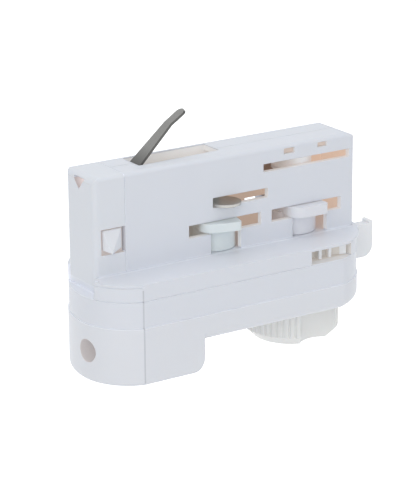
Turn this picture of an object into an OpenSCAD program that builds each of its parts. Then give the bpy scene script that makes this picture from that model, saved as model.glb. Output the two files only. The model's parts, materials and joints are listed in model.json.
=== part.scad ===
// Adapter that plugs a spotlight into a three-circuit lighting track.
// Millimetres, +Z up. The origin lies on the plane that seats against the track,
// on the centre plane of the body.
// The adapter is drawn locked: both wings stand across their slots and the slider tab is out.

/* [In-track body] */
// left end of the in-track body
left_end = -40; // [-44:0.5:-38]
// length of the in-track body
body_length = 77.7; // [76.5:0.1:79]
// thickness of the in-track body
body_thick = 13.9; // [13.6:0.1:15]
// height of the in-track body above the track seat
body_height = 24.9; // [24:0.1:27]
// wall of the half shells
shell_wall = 1.6; // [1.4:0.1:1.8]
// length of the end block
end_block_length = 8.9; // [8.6:0.1:9.4]
// rounding of the long top edges
top_edge_r = 1; // [0.4:0.1:1.4]
// rounding of the top corners seen from the side
end_corner_r = 2.3; // [1:0.1:3]
// rounding of the end block's upright front edge
front_edge_r = 1.5; // [0.5:0.1:1.8]
// rounding of the end block's upright rear edge
rear_edge_r = 2.4; // [0.5:0.1:2.6]
// width of the shadow line between neighbouring mouldings
seam_gap = 0.12; // [0.08:0.02:0.3]
// depth of the shadow line
seam_depth = 0.16; // [0.1:0.02:0.4]

/* [Flange] */
// width of the flange
flange_width = 36; // [35:0.5:40]
// reach of the bowed left end beyond the body
bow_reach = 2.75; // [2.5:0.05:3.2]
// distance of the bow's outermost point from the flange's front side
bow_inset = 13.1; // [12.6:0.1:13.4]
// radius of the bow in front of its outermost point
bow_front_r = 13.7; // [13.5:0.1:15]
// amount by which the bow's radius behind that point is larger than the distance to the rear side
bow_rear_spare = 1.1; // [0.8:0.1:2]
// amount by which the flange plate is cut back on both sides of the end block
tail_step = 2.7; // [2.4:0.1:3]
// radius of the round right end
right_end_r = 19.2; // [19:0.1:20]
// distance of the round end's centre from the body's right end
right_centre_inset = 17.7; // [17.2:0.1:18.2]
// height of the flange plate
plate_h = 4.2; // [4.1:0.1:5]
// thickness of the flange plate's roof
roof = 1.2; // [1:0.1:1.4]
// height of the lip along the top edge
lip_h = 0.6; // [0.4:0.1:0.8]
// overhang of the lip at the right end
lip_over = 0.5; // [0.3:0.1:0.8]
// depth of the shadow line under the lip at the left end
lip_groove = 0.25; // [0.15:0.05:0.4]
// height of the middle housing
middle_h = 6.83; // [6:0.01:8]
// thickness of the middle housing's deck
deck = 1.4; // [1.2:0.1:1.8]
// height of the base cover
base_h = 6.7; // [6:0.1:8]
// amount by which the base cover stands out around the middle housing
base_over = 0.25; // [0.1:0.05:0.4]
// wall of the flange layers
flange_wall = 1.8; // [1.5:0.1:2]
// rounding of the base cover's lower edge
base_edge_r = 2.2; // [0.6:0.1:3]

/* [Nose] */
// height of the nose below the base cover
nose_h = 8.15; // [7:0.1:10]
// length of the nose
nose_length = 24.3; // [23:0.1:25]
// rounding of the nose's lower right edge
nose_corner_r = 4; // [2:0.1:5]
// rounding of the nose's other lower edges
nose_edge_r = 1.2; // [0.5:0.1:1.6]
// radius of the wire outlet in the nose's end
outlet_r = 2.9; // [2.4:0.1:3.2]
// distance of the wire outlet from the centre plane
outlet_y = -7.1; // [-7.6:0.1:-6.6]
// height of the wire outlet's axis
outlet_z = -17.9; // [-18.4:0.1:-17.4]
// distance from the bowed end to the inner end of the wire outlet's collar
outlet_length = 5.5; // [4.5:0.1:6]

/* [Lamp stem] */
// distance of the threaded bush from the left end
bush_inset = 12; // [11:0.1:13]
// thread core radius of the bush
bush_bore_r = 4.5; // [4:0.1:4.8]
// outer radius of the bush
bush_r = 6; // [5.6:0.1:6.4]
// radius of the bush's collar
collar_r = 7.4; // [7:0.1:7.8]
// thickness of the bush's collar
collar_h = 1.5; // [1:0.1:2]
// length of the bush below its collar
bush_length = 9; // [8:0.1:10]
// wall of the boss around the bush
boss_wall = 1.6; // [1.2:0.1:2]

/* [Lock wings] */
// distance of the right wing's axis, which is the selector's too, from the body's right end
axis_inset = 15; // [14.8:0.1:15.2]
// distance between the two wing axes
axis_pitch = 24.8; // [24.6:0.1:25]
// reach of a wing from its axis
wing_reach = 9.5; // [9:0.1:9.8]
// half width of a wing
wing_half = 5.2; // [4.8:0.1:5.4]
// thickness of a wing
wing_thick = 2.75; // [2.5:0.05:2.9]
// underside of a wing
wing_z = 5.45; // [5.35:0.05:5.6]
// large corner rounding of a wing
wing_corner_r = 3.8; // [2:0.1:4.2]
// small corner rounding of a wing
wing_nose_r = 0.9; // [0.5:0.1:1.5]
// amount by which the left wing is thinner at its underside
left_wing_lift = 0.5; // [0:0.05:0.6]
// angle by which the left wing lags behind
wing_lag = 14; // [0:1:16]
// radius of the hub under a wing
hub_r = 6.4; // [5.4:0.1:6.5]
// radius of the column above a wing
column_r = 3.2; // [3:0.1:3.6]
// radius of the left shaft's neck that carries the neutral contact
neck_r = 2.4; // [2.2:0.1:2.6]
// radius of the left shaft's top journal
top_journal_r = 1.6; // [1.3:0.1:1.9]
// radius of the foot journals in the deck
foot_journal_r = 2.35; // [2.3:0.05:2.4]

/* [Wing slots] */
// half length of a wing slot
slot_half = 10.8; // [10.5:0.1:11]
// lower edge of a wing slot
slot_low = 5.2; // [5:0.05:5.25]
// upper edge of a wing slot
slot_high = 8.5; // [8.4:0.05:8.7]
// reach of a hub opening to the left of its axis
hub_slot_left = 4.3; // [4.2:0.1:4.6]
// reach of the left hub opening to the right of its axis
hub_slot_right_a = 4.7; // [4.3:0.1:5]
// reach of the right hub opening to the right of its axis
hub_slot_right_b = 6.4; // [4.3:0.1:6.6]

/* [Contact slots] */
// left end of the neutral slot, from the left axis
neutral_slot_left = -3.7; // [-4:0.1:-3.6]
// right end of the neutral slot, from the left axis
neutral_slot_right = 12.9; // [12:0.1:13.2]
// lower edge of the neutral slot
neutral_slot_low = 11.9; // [11.8:0.05:11.95]
// upper edge of the neutral slot
neutral_slot_high = 14.5; // [14:0.1:14.8]
// half length of the phase slot
phase_slot_half = 13.3; // [12.8:0.1:13.4]
// distance of the phase slot's upper edge from the top
phase_slot_inset = 4.1; // [4:0.05:4.3]
// height of the phase slot
phase_slot_h = 2.15; // [2:0.05:2.3]

/* [Contacts] */
// thickness of the contact blades
blade_thick = 0.7; // [0.5:0.05:0.8]
// underside of the neutral blade
neutral_z = 12.2; // [12.2:0.05:12.4]
// distance of the blade's tip centre from its axis
blade_arm = 6; // [5.5:0.1:6.2]
// radius of the blade's tip
blade_tip_r = 4; // [3.5:0.1:4]
// angle of the neutral blade, measured from the front
neutral_turn = 6; // [0:1:8]
// height of the phase blade above the lower edge of its slot
phase_blade_rise = 0.7; // [0.6:0.05:0.8]
// reach of the phase blade
phase_reach = 10.5; // [10:0.1:11]
// half width of the phase blade
phase_half = 2.5; // [2:0.1:3]
// thickness of the conductor strips
strip_thick = 0.6; // [0.4:0.05:0.8]
// width of the conductor strips
strip_width = 3; // [2.5:0.1:3.2]
// distance between the poles
pole_pitch = 4; // [3.8:0.1:4.1]
// distance of the neutral and phase strips from the left axis
riser_inset = 15.5; // [15.4:0.1:15.7]
// distance of the earth strip's left edge from the earth leaf's pin
earth_riser_inset = 1.5; // [1.4:0.1:1.6]

/* [Selector] */
// radius of the selector shaft
selector_r = 1.8; // [1.6:0.05:1.9]
// radius of the selector drum
drum_r = 5.2; // [4.8:0.1:5.2]
// height of the drum
drum_h = 5.4; // [5.2:0.1:5.6]
// gap between the drum and the shells' roof
drum_roof_gap = 1.3; // [1.2:0.1:1.5]
// radius of the stem under the drum
drum_stem_r = 3; // [2.5:0.1:3.2]
// radius of the knob
knob_r = 12.5; // [11.5:0.1:13]
// height of the knob
knob_h = 10.3; // [9.5:0.1:12]
// gap between the knob and the base cover
knob_gap = 0.4; // [0.3:0.05:0.6]
// chamfer of the knob's lower edge
knob_chamfer = 2.6; // [0.6:0.1:3]
// angle of the knob to the body
knob_turn = 5; // [0:1:8]
// radius of the finger scoops
scoop_r = 6.4; // [5:0.1:6.6]
// distance of the scoops from the knob's axis
scoop_offset = 13.7; // [13.2:0.1:14]
// number of grip grooves around the knob
grip_grooves = 48; // [36:4:60]
// radius of a grip groove
groove_r = 0.35; // [0.2:0.05:0.4]
// depth of the shaft's seat in the knob
knob_seat = 6; // [5:0.1:6.5]
// radius of the knob screw's head
knob_screw_head_r = 2.2; // [2:0.1:2.6]
// height of the knob screw's head
knob_screw_head_h = 1.4; // [1:0.1:1.8]
// radius of the knob screw's thread
knob_screw_r = 0.9; // [0.8:0.05:1]

/* [Slider] */
// module of the rack and the pinions
tooth_module = 0.5; // [0.48:0.01:0.52]
// number of teeth on a pinion
pinion_teeth = 12; // [12:1:12]
// clearance between meshing teeth
backlash = 0.1; // [0.06:0.01:0.14]
// front of the slider's front bar
front_bar_y = -9; // [-9.2:0.1:-8.8]
// width of the slider's bars
bar_width = 2.6; // [2.4:0.1:2.8]
// distance of the front bar's left end from the right axis
front_bar_inset = 7.7; // [7.4:0.1:8.2]
// rear edge of the rack bar
rack_bar_rear = 7.5; // [6.5:0.1:8]
// distance of the slider's cross piece from the body's right end
cross_inset = 6.2; // [5.9:0.1:6.3]
// width of the slider's cross piece
cross_width = 3; // [2.6:0.1:3.2]
// reach of the slider tab beyond the body's right end
tab_reach = 8; // [7.8:0.1:9]
// front of the slider tab
tab_front = -4.6; // [-4.8:0.1:-4.4]
// thickness of the slider tab
tab_thick = 3; // [2.6:0.1:3.2]
// underside of the slider tab
tab_low = -10.4; // [-10.6:0.1:-9]
// length of the deep part of the tab
tab_deep_length = 5.4; // [5:0.1:5.6]
// rounding of the tab's lower corner
tab_corner_r = 3; // [1:0.1:4]
// thickness of the thumb lip at the tab's end
thumb_lip = 1.2; // [0.8:0.1:1.3]
// height of the thumb lip
thumb_lip_h = 0.9; // [0.5:0.1:1.2]
// distance of the grip pad's left end from the right axis
pad_inset = 5.6; // [5.4:0.1:5.8]
// length of the grip pad
pad_length = 12.1; // [11.6:0.1:12.2]
// face of the grip pad
pad_face = -14.2; // [-14.3:0.1:-13]
// height of the ribs on the grip pad
pad_rib_h = 1.6; // [1:0.1:1.6]
// thickness of the ribs on the grip pad
pad_rib = 0.8; // [0.6:0.1:1]
// distance of the grip window's left end from the right axis
window_inset = 6.1; // [6:0.1:6.6]
// length of the grip window
window_length = 13.3; // [13:0.1:13.5]
// outer radius of the lock spring
lock_spring_r = 1.15; // [1:0.05:1.2]
// wire of the lock spring
lock_spring_wire = 0.36; // [0.3:0.02:0.4]
// length of the lock spring
lock_spring_length = 10; // [9:0.1:10.5]

/* [Catch] */
// left edge of the catch window, from the left end
catch_window_left = 2; // [1.8:0.1:2.2]
// lower edge of the catch window
catch_window_low = 5.3; // [5:0.1:5.6]
// upper edge of the catch window
catch_window_high = 11.85; // [11.7:0.05:12.2]
// skin of the end block in front of the catch's pocket
catch_skin = 1.2; // [1:0.1:1.4]
// amount by which the pocket and the catch's flange reach behind the skin
catch_lap = 0.6; // [0.4:0.1:0.7]
// thickness of the catch's flange
catch_flange = 1.2; // [1:0.1:1.4]
// left edge of the catch's nose, from the left end
catch_nose_left = 2.7; // [2.5:0.1:2.9]
// width of the catch's nose
catch_nose_width = 5.2; // [4.8:0.1:5.3]
// lower edge of the catch's nose
catch_nose_low = 6.5; // [6.3:0.1:6.8]
// upper edge of the catch's nose
catch_nose_high = 11.4; // [11:0.1:11.5]
// amount by which the catch's point stands out of the body
catch_point = 1.4; // [0.8:0.1:1.4]
// distance of the catch's point from its left edge
catch_point_x = 1.6; // [1:0.1:2.6]
// height of the catch's point
catch_point_z = 5.75; // [5.7:0.05:6.2]
// outer radius of the catch spring
catch_spring_r = 2; // [1.8:0.1:2.2]
// wire of the catch spring
catch_spring_wire = 0.4; // [0.3:0.02:0.45]
// depth of the catch's pocket behind the skin
catch_pocket = 7.7; // [7.4:0.1:8]

/* [Earth leaf] */
// distance of the earth leaf's pin from the end block
earth_inset = 4.4; // [4.3:0.1:4.5]
// depth of the earth leaf's pin below the top
earth_depth = 3.05; // [3:0.05:3.2]
// rise of the leaf
leaf_angle = 42.8; // [41:0.2:44]
// length of the leaf up to its bend
leaf_length = 17; // [15:0.1:17.4]
// length of the leaf beyond its bend
leaf_tip = 5.4; // [4:0.1:6]
// change of direction at the bend
leaf_bend = 10; // [6:1:14]
// thickness of the leaf
leaf_thick = 0.7; // [0.5:0.05:0.8]
// half width of the leaf at its pin
leaf_half_root = 2.3; // [1.8:0.1:2.3]
// half width of the leaf at its tip
leaf_half_tip = 1.4; // [0.8:0.05:1.5]
// radius of the earth pin
earth_pin_r = 0.6; // [0.5:0.05:0.7]
// wall of the leaf's eye
eye_wall = 0.55; // [0.45:0.05:0.6]
// distance of the recess's right end from the folded leaf's tip
recess_play = 3.9; // [3.5:0.1:4.2]
// front edge of the recess at its left end
recess_front = -2.7; // [-2.9:0.1:-2.6]

/* [Screws] */
// distance of the left row of housing screws from the left end
screw_inset_left = 29; // [28.8:0.1:29.2]
// distance of the right row of housing screws from the right axis
screw_inset_right = 16.7; // [16.4:0.1:17]
// distance of the housing screws from the centre plane
screw_y = 13.6; // [13.4:0.1:13.8]
// radius of a housing screw
screw_r = 1.25; // [1:0.05:1.35]
// radius of a housing screw's head
screw_head_r = 2.1; // [1.9:0.1:2.2]
// height of a housing screw's head
screw_head_h = 1.5; // [1.2:0.1:1.7]
// radius of the screw bosses
screw_boss_r = 2.5; // [2.4:0.1:2.7]

/* [Terminal] */
// gap between the strips and the terminal block
terminal_gap = 0.4; // [0.3:0.1:0.5]
// length of the terminal block
terminal_length = 9; // [8.5:0.1:9.2]
// width of the terminal block
terminal_width = 14; // [13.8:0.1:14.6]
// height of the terminal block
terminal_h = 8; // [7.6:0.1:8.2]
// radius of a terminal screw
terminal_screw_r = 1.1; // [0.9:0.05:1.2]
// length of a terminal screw
terminal_screw_length = 4; // [3.5:0.1:4.4]

/* [Fits] */
// gap between pieces that move past each other
running_gap = 0.3; // [0.25:0.05:0.35]
// radial clearance of a turning fit
turning_fit = 0.05; // [0.03:0.01:0.08]
// gap under the hubs, which rest on the flange
thrust_gap = 0.1; // [0.05:0.01:0.2]
// gap around a loosely laid piece
lay_gap = 0.1; // [0.05:0.05:0.15]

/* [Hidden] */
$fn = 96;
cut = 0.5;
body_right = left_end + body_length;
seam_x = left_end + end_block_length;
half_thick = body_thick / 2;
inner_y = half_thick - shell_wall;
inner_top = body_height - shell_wall;
half_width = flange_width / 2;
plan_reach = 200;
bow_left = left_end - bow_reach;
bow_y = bow_inset - half_width;
bow_rear_r = flange_width - bow_inset + bow_rear_spare;
left_corner = bow_left + bow_front_r - sqrt(pow(bow_front_r, 2) - pow(bow_inset, 2));
right_centre = body_right - right_centre_inset;
right_axis = body_right - axis_inset;
left_axis = right_axis - axis_pitch;
tail_length = 4;
nose_right = left_end + nose_length;
bush_x = left_end + bush_inset;
screw_row_left = left_end + screw_inset_left;
screw_row_right = right_axis - screw_inset_right;
front_bar_left = right_axis - front_bar_inset;
cross_left = body_right - cross_inset;
tab_end = body_right + tab_reach;
pad_left = right_axis - pad_inset;
window_left = right_axis - window_inset;
window_right = window_left + window_length;
riser_x = left_axis - riser_inset;
terminal_left = riser_x + strip_width + terminal_gap;
earth_x = seam_x + earth_inset;
earth_z = body_height - earth_depth;
earth_riser_x = earth_x - earth_riser_inset;
recess_right = earth_x + leaf_length + leaf_tip + recess_play;
phase_slot_high = body_height - phase_slot_inset;
phase_slot_low = phase_slot_high - phase_slot_h;
phase_z = phase_slot_low + phase_blade_rise;
plate_low = -plate_h;
middle_low = plate_low - middle_h;
base_low = middle_low - base_h;
nose_low = base_low - nose_h;
deck_low = plate_low - deck;
floor_top = base_low + flange_wall;
nose_floor_top = nose_low + flange_wall;
pitch_r = tooth_module * pinion_teeth / 2;
tooth_tip = 0.8 * tooth_module;
tooth_root = tooth_module;
tip_r = pitch_r + tooth_tip;
root_r = pitch_r - tooth_root;
tooth_pitch = PI * tooth_module;
roof_journal_r = tip_r + turning_fit;
roof_bore_r = roof_journal_r + turning_fit;
slider_travel = pitch_r * PI / 2;
slider_top = -roof - running_gap;
slider_low = plate_low + running_gap;
rack_line = pitch_r + turning_fit;
hub_low = thrust_gap;
wing_top = wing_z + wing_thick;
bearing_low = neutral_slot_high + 1.5;
bearing_high = bearing_low + shell_wall;
neck_top = bearing_low - running_gap;
bearing_half = 5;
sleeve_plate_low = slot_high + 0.5;
sleeve_plate_high = sleeve_plate_low + 1.4;
sleeve_plate_half = 5.5;
sleeve_top = sleeve_plate_high + 0.4;
drum_high = inner_top - drum_roof_gap;
drum_low = drum_high - drum_h;
knob_top = base_low - knob_gap;
knob_low = knob_top - knob_h;
leaf_eye_r = earth_pin_r + turning_fit + eye_wall;
latch_set_back = 0.6;
journal_rise = 0.5;
journal_recess = 0.8;
pin_boss_wall = 0.7;
head_recess = 0.4;
cross_slot = 0.5;
cross_slot_depth = 0.7;

WHITE = [0.93, 0.94, 0.96];
CREAM = [0.93, 0.91, 0.84];
STEEL = [0.5, 0.5, 0.48];
BRASS = [0.78, 0.64, 0.36];

// Box from two opposite corners.
module span(a, b) {
    translate(a)
        cube(b - a);
}

// Profile drawn in X and Z, extruded from y0 to y1.
module along_y(y0, y1) {
    translate([0, y1, 0])
        rotate([90, 0, 0])
            linear_extrude(y1 - y0)
                children();
}

// Profile drawn in Y and Z, extruded from x0 to x1.
module along_x(x0, x1) {
    translate([x0, 0, 0])
        rotate([90, 0, 90])
            linear_extrude(x1 - x0)
                children();
}

// Profile drawn in X and Y, extruded from z0 to z1.
module along_z(z0, z1) {
    translate([0, 0, z0])
        linear_extrude(z1 - z0)
            children();
}

// Upright cylinder from z0 to z1.
module post(r, z0, z1) {
    translate([0, 0, z0])
        cylinder(r = r, h = z1 - z0);
}

// Rectangle from [x0, y0] to [x1, y1] with its own radius at each corner, counter-clockwise
// from the lower left.
module corner_rect(x0, y0, x1, y1, r) {
    difference() {
        translate([x0, y0])
            square([x1 - x0, y1 - y0]);
        if (r[0] > 0)
            translate([x0, y0])
                corner_waste(r[0]);
        if (r[1] > 0)
            translate([x1, y0])
                mirror([1, 0])
                    corner_waste(r[1]);
        if (r[2] > 0)
            translate([x1, y1])
                rotate(180)
                    corner_waste(r[2]);
        if (r[3] > 0)
            translate([x0, y1])
                mirror([0, 1])
                    corner_waste(r[3]);
    }
}

// What a rounded corner at the origin takes away.
module corner_waste(r) {
    difference() {
        translate([-r, -r])
            square(2 * r);
        translate([r, r])
            circle(r);
        translate([r, -2 * r])
            square(4 * r);
        translate([-2 * r, r])
            square([6 * r, 2 * r]);
    }
}

// Outline of the in-track body, rounded at its ends and along its top.
module body_form() {
    intersection() {
        along_x(left_end, body_right)
            corner_rect(-half_thick, -1, half_thick, body_height, [0, 0, top_edge_r, top_edge_r]);
        along_y(-half_thick, half_thick)
            corner_rect(left_end, -1, body_right, body_height, [0, 0, end_corner_r, end_corner_r]);
        along_z(0, body_height)
            corner_rect(left_end, -half_thick, body_right, half_thick,
                [front_edge_r, top_edge_r, top_edge_r, rear_edge_r]);
    }
}

// Recess in the top that the earth leaf folds into; its left end leans with the leaf.
module earth_recess() {
    lean = 1 / tan(leaf_angle);
    top_x = earth_x + (body_height - earth_z) * lean - (leaf_thick / 2 + running_gap) / sin(leaf_angle);
    low_x = top_x - shell_wall * 1.5 * lean;
    intersection() {
        along_y(recess_front, inner_y)
            polygon([[low_x, body_height - shell_wall * 1.5], [top_x + cut * lean, body_height + cut],
                [recess_right, body_height + cut], [recess_right, body_height - shell_wall * 1.5]]);
        along_z(0, body_height + cut)
            polygon([[low_x, recess_front], [recess_right, -leaf_half_tip - running_gap],
                [recess_right, inner_y], [low_x, inner_y]]);
    }
}

// T-shaped slot of one lock wing, cut through both walls.
module wing_slot(x, hub_right) {
    span([x - slot_half, -half_thick - cut, slot_low], [x + slot_half, half_thick + cut, slot_high]);
    span([x - hub_slot_left, -half_thick - cut, -cut], [x + hub_right, half_thick + cut, slot_low + cut]);
}

// Hollow and slots that both half shells share.
module shell_cuts() {
    span([seam_x + shell_wall, -inner_y, -cut], [body_right - shell_wall, inner_y, inner_top]);
    wing_slot(left_axis, hub_slot_right_a);
    wing_slot(right_axis, hub_slot_right_b);
    span([right_axis - phase_slot_half, -half_thick - cut, phase_slot_low],
        [right_axis + phase_slot_half, half_thick + cut, phase_slot_high]);
    earth_recess();
}

// Plates that carry the shafts, moulded inside the half shells.
module shell_bearings() {
    difference() {
        union() {
            span([left_axis - bearing_half, -inner_y - cut, bearing_low],
                [left_axis + bearing_half, inner_y + cut, bearing_high]);
            span([right_axis - sleeve_plate_half, -inner_y - cut, sleeve_plate_low],
                [right_axis + sleeve_plate_half, inner_y + cut, sleeve_plate_high]);
        }
        translate([left_axis, 0, 0])
            post(top_journal_r + turning_fit, 0, body_height);
        translate([right_axis, 0, 0])
            post(column_r + turning_fit, 0, drum_low);
    }
}

// Bosses at both walls that hold the ends of the earth pin, clear of the earth strip.
module pin_bosses() {
    boss_h = inner_y - pole_pitch - strip_thick / 2 - lay_gap;
    for (s = [-1, 1])
        translate([earth_x, s * (inner_y + cut - (boss_h + cut) / 2), earth_z])
            rotate([90, 0, 0])
                cylinder(r = earth_pin_r + pin_boss_wall, h = boss_h + cut, center = true);
}

// Both half shells as one body, before they are parted on the centre plane.
module shell_pair() {
    difference() {
        union() {
            difference() {
                intersection() {
                    body_form();
                    span([seam_x, -half_thick, 0], [body_right, half_thick, body_height]);
                }
                shell_cuts();
            }
            shell_bearings();
            pin_bosses();
        }
        translate([earth_x, 0, earth_z])
            rotate([90, 0, 0])
                cylinder(r = earth_pin_r, h = 2 * inner_y, center = true);
        translate([right_axis, 0, 0])
            post(top_journal_r + turning_fit, drum_high, inner_top + journal_recess);
    }
}

// Latch windows near the top of the front shell, given as [left, right, low, high].
LATCHES = [[right_axis - 7.1, right_axis - 3.8, inner_top - 0.9, inner_top + 0.6],
    [right_axis + 3.3, right_axis + 6.2, inner_top - 0.7, inner_top + 0.6]];

// Front half shell with the neutral slot and the two latch windows.
module front_shell() {
    color(WHITE)
        difference() {
            intersection() {
                shell_pair();
                span([seam_x, -half_thick, 0], [body_right, 0, body_height]);
            }
            span([left_axis + neutral_slot_left, -half_thick - cut, neutral_slot_low],
                [left_axis + neutral_slot_right, -inner_y + cut, neutral_slot_high]);
            for (w = LATCHES)
                span([w[0], -half_thick - cut, w[2]], [w[1], -inner_y + cut, w[3]]);
            for (w = LATCHES)
                span([w[0], -inner_y - cut, w[2]], [w[1], cut, w[3]]);
            span([seam_x - cut, -seam_gap / 2, body_height - seam_depth],
                [body_right + cut, cut, body_height + cut]);
        }
}

// Rear half shell with the two latches that reach the windows of the front shell.
module rear_shell() {
    color(WHITE)
        difference() {
            union() {
                intersection() {
                    shell_pair();
                    span([seam_x, 0, 0], [body_right, half_thick, body_height]);
                }
                for (w = LATCHES)
                    span([w[0] + lay_gap, -half_thick + latch_set_back, w[2] + lay_gap],
                        [w[1] - lay_gap, cut, w[3] - lay_gap]);
            }
            span([seam_x - cut, -cut, body_height - seam_depth],
                [body_right + cut, seam_gap / 2, body_height + cut]);
        }
}

// End block with the catch's pocket, which opens towards the shells, and a tail that stands in
// the flange plate.
module end_block() {
    x0 = left_end + catch_window_left;
    tail_x = left_end + tail_length;
    tail_slope = [0.6, 1.8];
    hole_depth = 3;
    color(WHITE)
        difference() {
            union() {
                intersection() {
                    body_form();
                    span([left_end, -half_thick, 0], [seam_x, half_thick, body_height]);
                }
                intersection() {
                    along_z(plate_low, 0)
                        corner_rect(left_end, -half_thick, tail_x, half_thick,
                            [front_edge_r, 0, 0, rear_edge_r]);
                    along_y(-half_thick, half_thick)
                        polygon([[left_end + tail_slope[0], plate_low], [tail_x, plate_low], [tail_x, 0],
                            [left_end, 0], [left_end, plate_low + tail_slope[1]]]);
                }
            }
            span([x0, -half_thick - cut, catch_window_low], [seam_x + cut, -half_thick + catch_skin + cut,
                catch_window_high]);
            span([x0 - catch_lap, -half_thick + catch_skin, catch_window_low - catch_lap],
                [seam_x + cut, -half_thick + catch_skin + catch_pocket, catch_window_high + catch_lap]);
            along_x(left_end - cut, left_end + hole_depth)
                end_hole();
            span([seam_x - seam_gap, -half_thick - cut, -cut], [seam_x + cut, -half_thick + seam_depth,
                body_height + cut]);
            span([seam_x - seam_gap, half_thick - seam_depth, -cut], [seam_x + cut, half_thick + cut,
                body_height + cut]);
            span([seam_x - seam_gap, -half_thick, body_height - seam_depth], [seam_x + cut, half_thick,
                body_height + cut]);
        }
}

// Small three-cornered hole in the end face, point down and with blunt corners.
module end_hole() {
    top = body_height - end_corner_r * 0.45;
    half = 2.5;
    deep = 2.7;
    blunt = 0.3;
    polygon([[-half + blunt, top], [half - blunt, top], [half, top - blunt], [blunt, top - deep],
        [-blunt, top - deep], [-half, top - blunt]]);
}

// Plan of the flange, grown by side along its flat sides and by left and right at its two round ends.
module flange_plan(side, left, right) {
    intersection() {
        translate([-plan_reach / 2, -half_width - side])
            square([plan_reach, flange_width + 2 * side]);
        union() {
            bow_half(bow_front_r, left, -1);
            bow_half(bow_rear_r, left, 1);
        }
        union() {
            translate([right_centre, 0])
                circle(right_end_r + right);
            translate([right_centre - plan_reach, -plan_reach / 2])
                square(plan_reach);
        }
    }
}

// The flange's plan in front of (side -1) or behind (side 1) the outermost point of its bowed end.
module bow_half(r, grow, side) {
    translate([bow_left + r, bow_y])
        intersection() {
            union() {
                circle(r + grow);
                translate([0, -plan_reach / 2])
                    square(plan_reach);
            }
            translate([-plan_reach / 2, side < 0 ? -plan_reach : 0])
                square(plan_reach);
        }
}

// Openings for the three conductor strips.
module strip_ways(z0, z1) {
    for (k = [0, 1])
        span([riser_x - running_gap, k * pole_pitch - strip_thick / 2 - running_gap, z0],
            [riser_x + strip_width + running_gap, k * pole_pitch + strip_thick / 2 + running_gap, z1]);
    span([earth_riser_x - running_gap, -pole_pitch - strip_thick / 2 - running_gap, z0],
        [earth_riser_x + strip_width + running_gap, -pole_pitch + strip_thick / 2 + running_gap, z1]);
}

// Centres of the housing screws.
SCREWS = [for (x = [screw_row_left, screw_row_right], s = [-1, 1]) [x, s * screw_y, 0]];

// Flange plate: roof, lip and outer wall, with the grip window and the way out for the tab.
module flange_plate() {
    stop_x = front_bar_left - lock_spring_length;
    stop_thick = 1.5;
    step_y = half_thick + tail_step;
    color(WHITE)
        difference() {
            union() {
                difference() {
                    union() {
                        along_z(plate_low, 0)
                            flange_plan(0, 0, 0);
                        along_z(-lip_h, 0)
                            flange_plan(0, 0, lip_over);
                    }
                    difference() {
                        along_z(plate_low - cut, -roof)
                            flange_plan(-flange_wall, -flange_wall, -flange_wall);
                        span([bow_left, -step_y - flange_wall, plate_low - 2 * cut],
                            [left_end + flange_wall, step_y + flange_wall, 0]);
                    }
                }
                for (p = SCREWS)
                    translate(p)
                        post(screw_boss_r, plate_low, -roof + cut);
                span([stop_x - stop_thick, front_bar_y, plate_low],
                    [stop_x, front_bar_y + bar_width, -roof + cut]);
            }
            for (p = SCREWS)
                translate(p)
                    post(screw_r, plate_low - cut, -roof);
            for (x = [left_axis, right_axis])
                translate([x, 0, 0])
                    post(roof_bore_r, plate_low - cut, cut);
            span([window_left, -half_width - cut, plate_low - cut],
                [window_right, pad_face + cut, -lip_h - lay_gap]);
            span([cross_left + cross_width, tab_front - running_gap, plate_low - cut],
                [tab_end, tab_front + tab_thick + running_gap, slider_top + running_gap]);
            strip_ways(plate_low - cut, cut);
            along_z(plate_low - cut, cut)
                union() {
                    translate([left_end - tail_length, -half_thick])
                        square([2 * tail_length, body_thick]);
                    translate([left_end - tail_length, -step_y])
                        square([tail_length, 2 * step_y]);
                }
            along_z(-lip_h - seam_gap, -lip_h)
                difference() {
                    translate([bow_left - cut, -half_width - cut])
                        square([left_corner - bow_left + cut, flange_width + 2 * cut]);
                    flange_plan(0, -lip_groove, 0);
                }
        }
}

// Middle housing: deck under the slider and outer wall, with a slot that lets the tab in.
module middle_housing() {
    color(WHITE)
        difference() {
            along_z(middle_low, plate_low)
                flange_plan(0, 0, 0);
            difference() {
                along_z(middle_low - cut, deck_low)
                    flange_plan(-flange_wall, -flange_wall, -flange_wall);
                for (p = SCREWS)
                    translate(p)
                        post(screw_boss_r, middle_low - 2 * cut, plate_low);
            }
            for (p = SCREWS)
                translate(p)
                    post(screw_r + lay_gap, middle_low - cut, plate_low + cut);
            for (x = [left_axis, right_axis])
                translate([x, 0, 0])
                    post(foot_journal_r + turning_fit, middle_low - cut, plate_low + cut);
            span([tab_end - tab_deep_length - slider_travel - running_gap, tab_front - running_gap,
                tab_low - running_gap],
                [tab_end, tab_front + tab_thick + running_gap, plate_low + cut]);
            strip_ways(middle_low - cut, plate_low + cut);
            along_z(plate_low - seam_gap, plate_low + cut)
                difference() {
                    flange_plan(cut, cut, cut);
                    flange_plan(-seam_depth, -seam_depth, -seam_depth);
                }
        }
}

// What the rounding of the base cover's lower edge takes away.
module base_edge_waste() {
    w = half_width + base_over;
    r = right_end_r + base_over;
    for (s = [-1, 1])
        along_x(nose_right, right_centre + right_end_r)
            translate([s * w, base_low])
                mirror([s > 0 ? 1 : 0, 0])
                    corner_waste(base_edge_r);
    translate([right_centre, 0, 0])
        intersection() {
            rotate_extrude()
                translate([r, base_low])
                    mirror([1, 0])
                        corner_waste(base_edge_r);
            span([0, -plan_reach, base_low - 2 * base_edge_r],
                [plan_reach, plan_reach, base_low + 2 * base_edge_r]);
        }
}

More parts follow.
